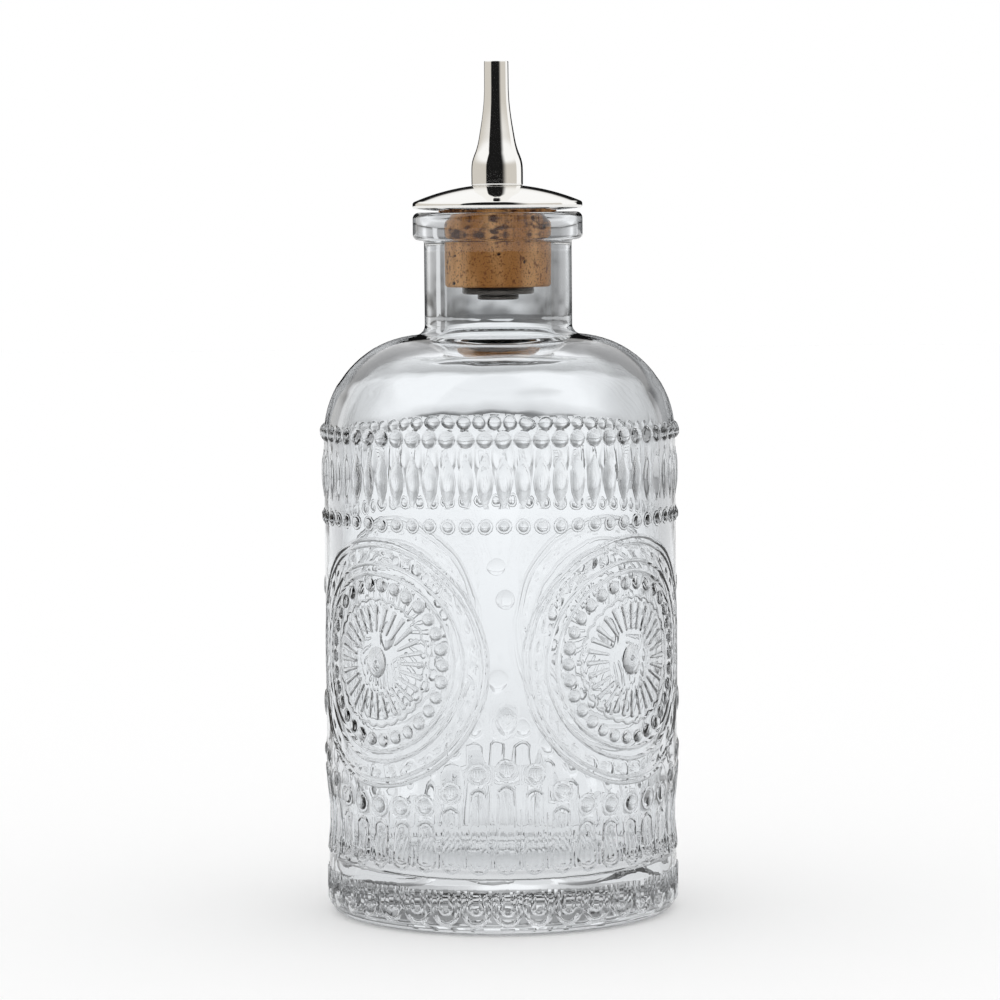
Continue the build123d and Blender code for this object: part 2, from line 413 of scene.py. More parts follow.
@dataclass(frozen=True)
class FirePolishedGlass:
    """Pressed soda glass with a faint cool tint and the soft ripple of its mould."""

    tint: Colour = (0.975, 0.985, 0.99, 1)
    index: float = 1.5
    ripple_scale: float = 90.0
    ripple_depth: float = 0.00004

    def material(self) -> bpy.types.Material:
        """Build the glass."""
        surface = Surface("fire_polished_glass")
        surface.set(Base_Color=self.tint, Roughness=0.0, IOR=self.index, Transmission_Weight=1.0)
        surface.bump(surface.noise(surface.place(), self.ripple_scale, 2), 1.0, self.ripple_depth)
        return surface.material


@dataclass(frozen=True)
class PolishedNickel:
    """Mirror-polished nickel plate with faint polishing marks."""

    colour: Colour = (0.94, 0.93, 0.905, 1)
    roughness: Point = (0.03, 0.09)

    def material(self) -> bpy.types.Material:
        """Build the polished plate."""
        surface = Surface("polished_nickel")
        marks = surface.noise(surface.place((1, 1, 6)), 260, 5)
        rough = surface.add(
            "ShaderNodeMapRange", Value=marks, From_Min=0.35, From_Max=0.7,
            To_Min=self.roughness[0], To_Max=self.roughness[1],
        )
        surface.set(Base_Color=self.colour, Metallic=1.0, Roughness=rough.outputs["Result"])
        surface.bump(surface.noise(surface.place(), 110, 2), 0.35, 0.00005)
        return surface.material


@dataclass(frozen=True)
class TurnedSteel:
    """Plain steel with the rings of the lathe left on it, its base colour darkened to a painted dark
    reflection.
    """

    # Painted reflection: far darker than plain steel, standing in for the dark surroundings mirrored in the
    # washer.
    colour: Colour = (0.1, 0.09, 0.08, 1)
    edge: Colour = (1, 1, 1, 1)
    roughness: float = 0.12
    rings_per_metre: float = 5200.0

    def material(self) -> bpy.types.Material:
        """Build the turned steel."""
        surface = Surface("turned_steel")
        rings = surface.add(
            "ShaderNodeTexWave", wave_type="RINGS", rings_direction="Z",
            Vector=surface.place(), Scale=self.rings_per_metre / 20, Distortion=0.4,
        )
        surface.set(Base_Color=self.colour, Metallic=1.0, Roughness=self.roughness, Specular_Tint=self.edge)
        surface.bump(rings.outputs["Fac"], 0.15, 0.00003)
        return surface.material


@dataclass(frozen=True)
class NaturalCork:
    """Natural cork: warm tan and brown streaks, fine grain, dark pits and painted shade under the lip."""

    light: Colour = (0.86, 0.46, 0.18, 1)
    brown: Colour = (0.52, 0.215, 0.05, 1)
    grain: Colour = (0.2, 0.065, 0.012, 1)
    pit: Colour = (0.03, 0.012, 0.006, 1)
    # Painted shade: dark brown for the streaky band at the cork's top, where the cap's lip shades it.
    painted_lip_shade: Colour = (0.09, 0.028, 0.007, 1)
    painted_lip_shade_foot: float = 132.5 * MM
    painted_lip_shade_fade: float = 2 * MM

    def material(self) -> bpy.types.Material:
        """Build the cork."""
        surface = Surface("natural_cork")
        streak = surface.noise(surface.place((1, 1, 0.12)), 190, 2)
        colour = surface.mix(surface.fade(streak, 0.4, 0.62), self.brown, self.light)
        fine = surface.noise(surface.place((1, 1, 0.8)), 3000, 5)
        colour = surface.mix(surface.fade(fine, 0.48, 0.74), colour, self.grain)
        flecks = surface.noise(surface.place((1, 1, 0.5)), 900, 3)
        colour = surface.mix(surface.fade(flecks, 0.62, 0.72), colour, self.grain)
        # Painted shade under the lip: streaky darkening that fades in towards the cork's top.
        height = surface.add("ShaderNodeSeparateXYZ", Vector=surface.place()).outputs["Z"]
        painted_lip_shade = surface.fade(surface.noise(surface.place((1, 1, 1.7)), 560, 5), 0.42, 0.62)
        upper = surface.fade(height, self.painted_lip_shade_foot, self.painted_lip_shade_foot + self.painted_lip_shade_fade)
        painted_lip_shade = surface.math("MULTIPLY", painted_lip_shade, upper)
        colour = surface.mix(painted_lip_shade, colour, self.painted_lip_shade)
        pits = surface.add("ShaderNodeAttribute", attribute_name="pit")
        colour = surface.mix(surface.fade(pits.outputs["Fac"], 0.15, 0.75), colour, self.pit)
        surface.set(Base_Color=colour, Roughness=0.82)
        surface.bump(surface.math("ADD", fine, flecks), 0.6, 0.00012)
        return surface.material


@dataclass(frozen=True)
class PlugPlastic:
    """Milky plastic of the orifice plug."""

    colour: Colour = (0.80, 0.80, 0.77, 1)

    def material(self) -> bpy.types.Material:
        """Build the plastic."""
        surface = Surface("milky_plastic")
        cloud = surface.noise(surface.place(), 700, 3)
        rough = surface.add("ShaderNodeMapRange", Value=cloud, To_Min=0.35, To_Max=0.55)
        surface.set(Base_Color=self.colour, Roughness=rough.outputs["Result"], Subsurface_Weight=0.1)
        return surface.material


@dataclass(frozen=True)
class Crown:
    """Shapes across the relief, as shares of the radius and of the height, from the middle out."""

    bead: tuple[Point, ...] = ((0, 1), (0.4, 0.93), (0.72, 0.7), (0.93, 0.36), (1.02, 0.12), (1.16, -0.02))
    almond: tuple[Point, ...] = (
        (0, 1), (0.36, 0.93), (0.62, 0.74), (0.82, 0.42), (0.94, 0.2), (1.04, 0.14), (1.12, -0.02)
    )
    ringed: tuple[Point, ...] = (
        (0, 1), (0.34, 0.92), (0.6, 0.6), (0.74, 0.16), (0.86, 0.14), (0.96, 0.22), (1.08, -0.02)
    )
    leaf: tuple[Point, ...] = (
        (0, 0.25), (0.3, 0.7), (0.48, 0.3), (0.7, 0.4), (0.82, 1), (0.92, 0.7), (1.06, -0.02)
    )
    pad: tuple[Point, ...] = ((0, 1), (0.6, 0.8), (1, -0.02))
    dome: tuple[Point, ...] = (
        (0, 1), (0.2, 0.985), (0.4, 0.92), (0.6, 0.79), (0.78, 0.58), (0.92, 0.3), (1.0, 0.1), (1.03, -0.02)
    )


@dataclass
class Relief:
    """Pressed relief: closed shapes drawn flat, then wrapped round the bottle's wall."""

    wall: Callable[[float], float]
    girth_radius: float
    root: float = 0.45 * MM
    longest: float = 5.0 * MM
    cut_share: float = 0.6
    wave_depth: float = 0.045
    wander: float = 0.24 * MM
    wander_scale: float = 230.0
    wear: float = 0.4
    wear_scale: float = 300.0
    seed: int = 7
    shapes: bmesh.types.BMesh = field(default_factory=bmesh.new)

    def raised(self, crown: tuple[Point, ...], radius: float, proud: float, steps: int) -> bpy.types.Mesh:
        """Round shape that stands proud of the wall.

        Args:
            crown: Share of the radius and share of the height, from the middle to the foot.
            radius: Radius of the shape.
            proud: Height of its middle above the wall.
            steps: Steps round it.

        Returns:
            A closed template, drawn flat with Z away from the wall.
        """
        section = [(radius * x, proud * h) for x, h in crown]
        return self._template(spun([*section, (section[-1][0], -self.root), (0, -self.root)], steps))

    def ridge(self, radius: float, width: float, proud: float, steps: int, waves: int = 0) -> bpy.types.Mesh:
        """Ring-shaped ridge.

        Args:
            radius: Radius of the ring.
            width: Width of the ridge at its foot.
            proud: Height of the ridge.
            steps: Steps round the ring.
            waves: Number of scallops in the ring, or 0 for a plain ring.

        Returns:
            A closed template.
        """
        bm = spun([(radius + x, h) for x, h in self._ridge_section(width, proud)], steps)
        if waves:
            for v in bm.verts:
                lobe = abs(math.sin(math.atan2(v.co.y, v.co.x) * waves / 2))
                v.co.xy *= 1 + self.wave_depth * lobe
        return self._template(bm)

    def loop(self, radius: float, width: float, proud: float, legs: float, steps: int = 8) -> bpy.types.Mesh:
        """Half ring, open upwards, with straight legs.

        Args:
            radius: Radius of the half ring.
            width: Width of the ridge at its foot.
            proud: Height of the ridge.
            legs: Length of the legs.
            steps: Steps round the half ring.

        Returns:
            A closed template with the half ring's centre at its origin.
        """
        bm = bmesh.new()
        verts = [bm.verts.new((-radius - x, 0, h)) for x, h in self._ridge_section(width, proud)]
        edges = [bm.edges.new(pair) for pair in zip(verts, verts[1:] + verts[:1])]
        bmesh.ops.spin(bm, geom=verts + edges, cent=(0, 0, 0), axis=(0, 0, 1), angle=math.pi, steps=steps)
        if legs:
            ends = [e for e in bm.edges if e.is_boundary]
            grown = bmesh.ops.extrude_edge_only(bm, edges=ends)["geom"]
            tips = [v for v in grown if isinstance(v, bmesh.types.BMVert)]
            bmesh.ops.translate(bm, verts=tips, vec=(0, legs, 0))
        bmesh.ops.holes_fill(bm, edges=bm.edges)
        bmesh.ops.recalc_face_normals(bm, faces=bm.faces)
        return self._template(bm)

    def _ridge_section(self, width: float, proud: float) -> list[Point]:
        """Section across a ridge, from its outer root round over the crown."""
        half = width / 2
        crown = ((1, -0.02), (0.52, 0.62), (0, 1), (-0.52, 0.62), (-1, -0.02))
        return [(half, -self.root), *((half * x, proud * h) for x, h in crown), (-half, -self.root)]

    @staticmethod
    def _template(bm: bmesh.types.BMesh) -> bpy.types.Mesh:
        """Store a template, freeing the mesh in work."""
        mesh = bpy.data.meshes.new("relief_template")
        bm.to_mesh(mesh)
        bm.free()
        return mesh

    def stamp(
        self,
        shape: bpy.types.Mesh,
        across: float,
        up: float,
        turn: float = 0,
        stretch: Point = (1, 1),
        pointed: float = 0,
        pull: float = 0,
        taper: float = 1,
    ) -> None:
        """Add one copy of a template at a place on the unrolled wall.

        Args:
            shape: The flat template.
            across: Distance round the wall from the front, in metres.
            up: Height on the wall.
            turn: Turn in the plane of the wall, in degrees.
            stretch: Stretch across and along, before the turn.
            pointed: How far the ends that aren't pulled are drawn to a point.
            pull: How far the lower half is pulled down, before the turn.
            taper: Width of the pulled end, as a share.
        """
        first, first_edge = len(self.shapes.verts), len(self.shapes.edges)
        self.shapes.from_mesh(shape)
        self.shapes.verts.ensure_lookup_table()
        fresh = self.shapes.verts[first:]
        reach = max(v.co.y for v in fresh)
        for v in fresh:
            if pull and v.co.y < 0.01 * reach:
                v.co.y -= pull
                v.co.x *= taper
            else:
                v.co.x *= 1 - pointed * (v.co.y / reach) ** 2
        if pull > self.longest:
            self.shapes.edges.ensure_lookup_table()
            limit = self.cut_share * pull
            long_edges = [e for e in self.shapes.edges[first_edge:] if e.calc_length() > limit]
            bmesh.ops.subdivide_edges(self.shapes, edges=long_edges, cuts=3, use_grid_fill=True)
            self.shapes.verts.ensure_lookup_table()
            fresh = self.shapes.verts[first:]
        place = Matrix.Translation((across, up, 0)) @ Matrix.Rotation(math.radians(turn), 4, "Z")
        bmesh.ops.transform(self.shapes, matrix=place @ Matrix.Diagonal((*stretch, 1, 1)), verts=fresh)

    def wrapped(self) -> bpy.types.Mesh:
        """Wrap all shapes round the wall, slightly astray and worn, and hand them over as one mesh."""
        noise.seed_set(self.seed)
        for v in self.shapes.verts:
            drift = noise.noise_vector(v.co * self.wander_scale) * self.wander
            worn = 1 - self.wear * abs(noise.noise(v.co * self.wear_scale)) if v.co.z > 0 else 1
            across, up, out = v.co.x + drift.x, v.co.y + drift.y, v.co.z * worn
            angle = across / self.girth_radius
            radius = self.wall(up) + out
            v.co = (radius * math.sin(angle), -radius * math.cos(angle), up)
        return self._template(self.shapes)


@dataclass
class ReliefBottle:
    """The pressed glass bottle: a thick turned wall with its relief joined on."""

    body_radius: float = 35.0 * MM
    body_wall: float = 3.3 * MM
    floor_height: float = 10.0 * MM
    inner_corner: float = 6.0 * MM
    punt_depth: float = 1.4 * MM
    foot_ring: Point = (27.8 * MM, 31.8 * MM)
    heel: Point = (34.8 * MM, 10.3 * MM)
    heel_rounding: float = 3.0 * MM
    waist_depth: float = 0.7 * MM
    waist_top: float = 29.5 * MM
    shoulder_radius: float = 20.0 * MM
    shoulder_base: float = 95.0 * MM
    bore_radius: float = 10.7 * MM
    neck_radius: float = 14.65 * MM
    neck_blend: float = 2.0 * MM
    throat_blend: float = 5.0 * MM
    lip_radius: float = 16.85 * MM
    lip_height: float = 5.5 * MM
    lip_rounding: float = 1.2 * MM
    mouth: tuple[Point, ...] = ((12.5, 0), (11.75, 0.3), (11.15, 0.9), (10.8, 1.7), (10.7, 2.6))
    steps: int = 168
    quarters: int = 4
    medallion_height: float = 52.5 * MM
    ring_beads: int = 60
    top_bead_height: float = 96.0 * MM
    almond_height: float = 87.9 * MM
    low_bead_height: float = 79.4 * MM
    seam_boss_height: float = 65.4 * MM
    seam_drop_height: float = 41.9 * MM
    leaves: int = 40
    garland: tuple[float, ...] = (32.5, 31.7, 28.0, 25.2, 24.6, 24.5)
    garland_to_leaf: float = 4.9 * MM
    leaf_foot: float = 14.4 * MM
    rib_drop: float = 3 * MM
    rib_foot: float = 16.5 * MM
    scallop_count: int = 36
    scallop_heights: Point = (4.9 * MM, 5.5 * MM)
    swell_scales: Point = (70, 190)
    swell_depths: Point = (0.16, 0.04)
    swell_top: float = 112 * MM
    crown: Crown = Crown()

    def wall(self, height: float) -> float:
        """Radius of the outer wall at a height between heel and shoulder."""
        heel_radius, heel_top = self.heel
        if height < heel_top:
            below = max(0.0, self.heel_rounding - height)
            return heel_radius - self.heel_rounding + math.sqrt(self.heel_rounding**2 - below**2)
        if height > self.shoulder_base:
            rise = height - self.shoulder_base
            return self.body_radius - self.shoulder_radius + math.sqrt(self.shoulder_radius**2 - rise**2)
        t = min(1.0, (height - heel_top) / (self.waist_top - heel_top))
        waist = self.waist_depth * math.sin(math.pi * t) ** 2
        return heel_radius + (self.body_radius - heel_radius) * t - waist

    def outline(self) -> list[Point]:
        """Closed half section of the plain bottle, up the outside and down the inside."""
        lip_top = heights_of("glass_bottle")[1]
        lip_base = lip_top - self.lip_height
        centre = (self.body_radius - self.shoulder_radius, self.shoulder_base)
        inner = self.body_radius - self.body_wall
        ring_inner, ring_outer = self.foot_ring
        body_foot = (self.body_radius, self.waist_top)
        points = [(ring_inner * t, self.punt_depth * (1 - t**2)) for t in (0, 0.25, 0.5, 0.75, 1)]
        points += [(ring_outer, 0), *arc((ring_outer, self.heel_rounding), self.heel_rounding, -75, 0, 6)]
        points += [*run(points[-1], self.heel, 3), *bowed(self.heel, body_foot, self.waist_depth, 10)[:-1]]
        points += [body_foot, *run(body_foot, (self.body_radius, self.shoulder_base), 16)]
        points += self.shoulder(centre, self.shoulder_radius, self.neck_radius, self.neck_blend)
        lip = self.lip(lip_base, lip_top)
        points += [*run(points[-1], lip[0], 9), *lip]
        points += flowing([(radius * MM, lip_top - depth * MM) for radius, depth in self.mouth], 2)
        throat = self.shoulder_radius - self.body_wall
        inside = self.shoulder(centre, throat, self.bore_radius, self.throat_blend)[::-1]
        points += [*run(points[-1], inside[0], 12), *inside]
        floor = (inner, self.floor_height)
        corner = rounded(floor, (inner, self.shoulder_base), (0, self.floor_height), self.inner_corner, 8)
        points += [*run(points[-1], corner[0], 24), *corner, *run(corner[-1], (0, self.floor_height), 6)]
        points.append((0, self.floor_height))
        return points

    def lip(self, base: float, top: float) -> list[Point]:
        """Outer points of the lip, from the neck up to its top.

        Args:
            base: Height of the lip's underside.
            top: Height of the lip's top.

        Returns:
            The points in order.
        """
        neck, radius = self.neck_radius, self.lip_radius
        points = rounded((neck, base), (neck, 0), (radius, base), 0.5 * MM, 3)
        points += rounded((radius, base), (neck, base), (radius, top), self.lip_rounding)
        return points + rounded((radius, top), (radius, base), (0, top), self.lip_rounding)

    @staticmethod
    def shoulder(centre: Point, radius: float, neck: float, blend: float) -> list[Point]:
        """Round shoulder and the hollow blend that turns it up into the neck.

        Args:
            centre: Centre of the shoulder's arc.
            radius: Radius of the shoulder's arc.
            neck: Radius of the neck.
            blend: Radius of the blend.

        Returns:
            The points from the body up to the neck.
        """
        reach = radius + blend
        turn = math.acos((neck + blend - centre[0]) / reach)
        height = centre[1] + reach * math.sin(turn)
        degrees = math.degrees(turn)
        round_part = arc(centre, radius, 0, degrees, 20)
        return round_part + arc((neck + blend, height), blend, 180 + degrees, 180, 8)[1:]

    def medallion(self, relief: Relief, azimuth: float) -> None:
        """Stamp one round medallion.

        Args:
            relief: The relief that takes the shapes.
            azimuth: The medallion's place round the wall, in degrees.
        """
        middle = Vector((math.radians(azimuth) * relief.girth_radius, self.medallion_height))
        petal = relief.raised(self.crown.bead, 0.7 * MM, 0.36 * MM, 10)
        small = relief.raised(self.crown.bead, 1.25 * MM, 0.7 * MM, 12)
        lozenge = relief.raised(self.crown.pad, 0.75 * MM, 0.13 * MM, 6)
        boss = relief.raised(self.crown.dome, 2.65 * MM, 0.88 * MM, 22)
        relief.stamp(boss, *middle, stretch=(0.96, 1.14), pointed=0.1)
        for count, radius, shape, options in (
            (28, 10.5, petal, {"pull": 3.9 * MM, "taper": 0.42}),
            (30, 15.1, small, {}),
            (36, 21.4, lozenge, {"stretch": (1.5, 0.8)}),
        ):
            for i in range(count):
                angle = FULL_TURN * i / count
                spot = middle + Vector((math.cos(angle), math.sin(angle))) * radius * MM
                relief.stamp(shape, *spot, math.degrees(angle) - 90, **options)
        for radius, width, proud, steps, waves in (
            (12.0, 0.6, 0.17, 84, 28),
            (17.3, 0.95, 0.2, 66, 0),
            (19.3, 0.95, 0.2, 66, 0),
            (22.8, 0.85, 0.17, 72, 0),
            (24.0, 0.95, 0.22, 72, 0),
        ):
            relief.stamp(relief.ridge(radius * MM, width * MM, proud * MM, steps, waves), *middle)

    def bead_rings(self, relief: Relief) -> None:
        """Stamp the two bead rings round the top of the body, the almonds between them."""
        bead = relief.raised(self.crown.bead, 1.55 * MM, 0.88 * MM, 12)
        almond = relief.raised(self.crown.almond, 1.5 * MM, 0.52 * MM, 14)
        low_bead = relief.raised(self.crown.ringed, 1.45 * MM, 0.6 * MM, 12)
        pitch = FULL_TURN * relief.girth_radius / self.ring_beads
        for i in range(self.ring_beads):
            relief.stamp(bead, i * pitch, self.top_bead_height)
            relief.stamp(almond, i * pitch, self.almond_height, stretch=(1, 3.0), pointed=0.5)
            relief.stamp(low_bead, i * pitch, self.low_bead_height)

    def garland_and_leaves(self, relief: Relief) -> None:
        """Stamp the seam bosses and the garland with the tall leaves below it."""
        boss = relief.raised(self.crown.dome, 1.9 * MM, 0.3 * MM, 16)
        drop = relief.raised(self.crown.bead, 2.1 * MM, 0.55 * MM, 14)
        hung = relief.raised(self.crown.ringed, 2.15 * MM, 0.5 * MM, 12)
        leaf = relief.raised(self.crown.leaf, 2.2 * MM, 0.36 * MM, 12)
        rib = relief.raised(self.crown.pad, 0.36 * MM, 0.4 * MM, 6)
        girth = FULL_TURN * relief.girth_radius
        for quarter in range(self.quarters):
            seam = girth * quarter / self.quarters
            relief.stamp(boss, seam, self.seam_boss_height)
            relief.stamp(drop, seam, self.seam_drop_height, stretch=(1, 1.3), pointed=0.3)
        for i in range(self.leaves):
            across, beside = girth * i / self.leaves, girth * (i + 0.5) / self.leaves
            height = self.garland_height(i)
            top = height - self.garland_to_leaf
            relief.stamp(hung, across, height)
            relief.stamp(leaf, across, top, pull=top - self.leaf_foot, pointed=0.4)
            relief.stamp(rib, beside, top - self.rib_drop, pull=top - self.rib_foot)

    def garland_height(self, place: int) -> float:
        """Height of one garland bead, from its place round the wall."""
        bow = self.leaves // self.quarters
        along = place % bow
        return self.garland[min(along, bow - along)] * MM

    def scallops(self, relief: Relief) -> None:
        """Stamp the nested scallops round the heel."""
        outer = relief.loop(2.4 * MM, 1.15 * MM, 0.34 * MM, 4.2 * MM)
        inner = relief.loop(1.05 * MM, 1.0 * MM, 0.4 * MM, 3.4 * MM)
        girth = FULL_TURN * relief.girth_radius
        for i in range(self.scallop_count):
            for loop, height in zip((outer, inner), self.scallop_heights):
                relief.stamp(loop, girth * i / self.scallop_count, height)

    def ripple(self, bm: bmesh.types.BMesh) -> None:
        """Make the inside slightly uneven, as a pressed wall is."""
        inner = self.body_radius - self.body_wall + 0.01 * MM
        wide, fine = self.swell_scales
        wide_depth, fine_depth = self.swell_depths
        for v in bm.verts:
            radius = math.hypot(v.co.x, v.co.y)
            if self.floor_height + 0.5 * MM < v.co.z < self.swell_top and 5 * MM < radius < inner:
                swell = noise.noise(v.co * wide) * wide_depth * MM
                swell += noise.noise(v.co * fine) * fine_depth * MM
                v.co.xy *= 1 - (swell + 0.1 * MM) / radius

    def build(self) -> bpy.types.Object:
        """Build the glass with its relief joined on."""
        body = spun(self.outline(), self.steps)
        self.ripple(body)
        bottle = object_from(body, "relief_bottle")
        relief = Relief(self.wall, self.body_radius)
        self.bead_rings(relief)
        for quarter in range(self.quarters):
            self.medallion(relief, 360 / self.quarters * (quarter + 0.5))
        self.garland_and_leaves(relief)
        self.scallops(relief)
        shapes = bpy.data.objects.new("relief_shapes", relief.wrapped())
        bpy.context.scene.collection.objects.link(shapes)
        union = bottle.modifiers.new("pressed relief", "BOOLEAN")
        union.operation = "UNION"
        union.solver = "MANIFOLD"
        union.object = shapes
        graph = bpy.context.evaluated_depsgraph_get()
        joined = bpy.data.meshes.new_from_object(bottle.evaluated_get(graph))
        bottle.modifiers.clear()
        bottle.data = joined
        bpy.data.objects.remove(shapes)
        smooth(bottle, 25)
        joined.calc_loop_triangles()
        log.info("relief bottle: %d triangles", len(joined.loop_triangles))
        return bottle


@dataclass
class Stopper:
    """Cork with its domed cap, dasher spout, washer and nut."""

    cork_radius: float = 10.65 * MM
    cork_taper: float = 0.15 * MM
    mouth_rounding: float = 1.0 * MM
    mouth_radius: float = 11.7 * MM
    cork_rise: float = 0.3 * MM
    stem_clearance: float = 3.05 * MM
    cap_radius: float = 16.85 * MM
    cap_under_rise: float = 0.5 * MM
    cap_rim_height: float = 1.2 * MM
    skirt_foot: float = 5.1 * MM
    shank: tuple[Point, ...] = (
        (5.1, 0.5), (5.1, 3.2), (4.98, 4.6), (4.64, 5.8), (4.17, 7.0), (3.72, 8.6), (3.36, 10.6),
        (3.0, 12.8), (2.72, 14.9), (2.52, 17.0), (2.42, 19.4),
    )
    tip_radius: float = 2.4 * MM
    spigot_radius: float = 4.2 * MM
    tip_bore: float = 1.5 * MM
    washer_radius: float = 7.15 * MM
    nut_radius: float = 4.1 * MM
    pits: int = 44
    pit_sizes: tuple[float, ...] = (0.1, 0.14, 0.2, 0.26, 0.5)
    pit_edge: float = 0.35 * MM
    pit_depth: float = 0.4 * MM
    grain_depth: float = 0.03 * MM
    seed: int = 7

    def cork(self) -> bpy.types.Object:
        """Cork that widens over the rounded mouth, with real pits."""
        base, top = heights_of("cork_stopper")
        lip_top = top - self.cork_rise
        foot = self.cork_radius - self.cork_taper
        edge = 0.4 * MM
        turn = (self.mouth_radius, lip_top - self.mouth_rounding)
        head = arc(turn, self.mouth_radius - self.cork_radius, 180, 90, 8)
        section = [(self.stem_clearance, base), *run((self.stem_clearance, base), (foot - edge, base), 16)]
        section += [(foot - edge, base), (foot, base + edge)]
        section += [*run((foot, base + edge), head[0], 56), *head, (self.mouth_radius, top)]
        section += [*run(section[-1], (self.stem_clearance, top), 8), (self.stem_clearance, top)]
        bm = spun(section, 224)
        self.pit(bm, base, turn[1])
        piece = object_from(bm, "pitted_cork")
        smooth(piece, 60)
        return piece

    def pit(self, bm: bmesh.types.BMesh, base: float, top: float) -> None:
        """Press seeded pits into the cork's side and mark them for its finish.

        Args:
            bm: The cork's mesh.
            base: Height of its lower end.
            top: Height where its straight side ends.
        """
        chance = random.Random(self.seed)
        depth = bm.verts.layers.float.new("pit")
        holes = []
        for _ in range(self.pits):
            angle = chance.uniform(0, FULL_TURN)
            size = chance.choice(self.pit_sizes) * MM
            centre = Vector((math.cos(angle) * self.cork_radius, math.sin(angle) * self.cork_radius, 0))
            centre.z = chance.uniform(base, top)
            holes.append((centre * Vector((0.97, 0.97, 1)), size, chance.uniform(0.7, 1.6)))
        for v in bm.verts:
            radius = math.hypot(v.co.x, v.co.y)
            if radius < 8 * MM or v.co.z > top:
                continue
            deepest = 0.0
            for centre, size, slant in holes:
                offset = v.co - centre
                if abs(offset.z) > 3 * MM:
                    continue
                offset.z *= slant
                reach = offset.length / (size + self.pit_edge)
                if reach < 1.5:
                    wobble = 0.55 * noise.noise(v.co * 2300)
                    deepest = max(deepest, min(1.0, 2.2 * (1 - reach) + wobble))
            grain = self.grain_depth * noise.noise(v.co * 900)
            v[depth] = deepest
            v.co.xy *= 1 - (self.pit_depth * deepest + abs(grain)) / radius

    def cap(self) -> bpy.types.Object:
        """Domed disc with a rounded rim."""
        base, seat = heights_of("dome_cap")
        rim_base = base + self.cap_under_rise
        rim_top = rim_base + self.cap_rim_height
        centre = (self.skirt_foot**2 - self.cap_radius**2 + seat**2 - rim_top**2) / (2 * (seat - rim_top))
        radius = math.hypot(self.skirt_foot, seat - centre)
        start = math.degrees(math.atan2(rim_top - centre, self.cap_radius))
        end = math.degrees(math.atan2(seat - centre, self.skirt_foot))
        dome = arc((0, centre), radius, start, end, 28)
        hole = self.spigot_radius + 0.05 * MM
        rounding = self.cap_rim_height / 2
        section = [(hole, base), (self.mouth_radius, base)]
        section += rounded((self.cap_radius, rim_base), section[-1], (self.cap_radius, rim_top), rounding, 6)
        section += rounded((self.cap_radius, rim_top), (self.cap_radius, rim_base), dome[1], rounding, 6)
        section += dome[1:] + [(hole, seat)]
        piece = object_from(spun(section, 256), "domed_cap")
        smooth(piece, 30)
        return piece

    def spout(self) -> bpy.types.Object:
        """Slim tapered spout on a straight round skirt, bored through."""
        base, tip = heights_of("dasher_spout")
        plug_top = heights_of("orifice_plug")[1]
        seat = heights_of("dome_cap")[1]
        shank = flowing([(radius * MM, seat + height * MM) for radius, height in self.shank], 4)
        edge = 0.15 * MM
        section = [(self.stem_clearance, base), (self.spigot_radius, base), (self.spigot_radius, seat)]
        section += rounded((self.skirt_foot, seat), (0, seat), shank[0], 0.25 * MM)
        section += [*shank, *run(shank[-1], (self.tip_radius, tip), 4)]
        section += rounded((self.tip_radius, tip), (self.tip_radius, seat), (0, tip), edge, 4)
        section += rounded((self.tip_bore, tip), (self.tip_radius, tip), (self.tip_bore, seat), edge, 4)
        section += [(self.tip_bore, plug_top + 2 * edge), (self.stem_clearance, plug_top)]
        piece = object_from(spun(section, 192), "spun_spout")
        smooth(piece, 30)
        return piece

    def ring(self, node: str, radius: float, name: str) -> bpy.types.Object:
        """Turned ring round the stem.

        Args:
            node: The CAD node that it stands for.
            radius: Its outer radius.
            name: The piece's name.

        Returns:
            The ring.
        """
        base, top = heights_of(node)
        edge = 0.12 * MM
        section = softened(
            [
                (self.stem_clearance, base, edge),
                (radius, base, 2 * edge),
                (radius, top, edge),
                (self.stem_clearance, top, 0),
            ],
            3,
        )
        piece = object_from(spun(section, 128), name)
        smooth(piece, 30)
        return piece


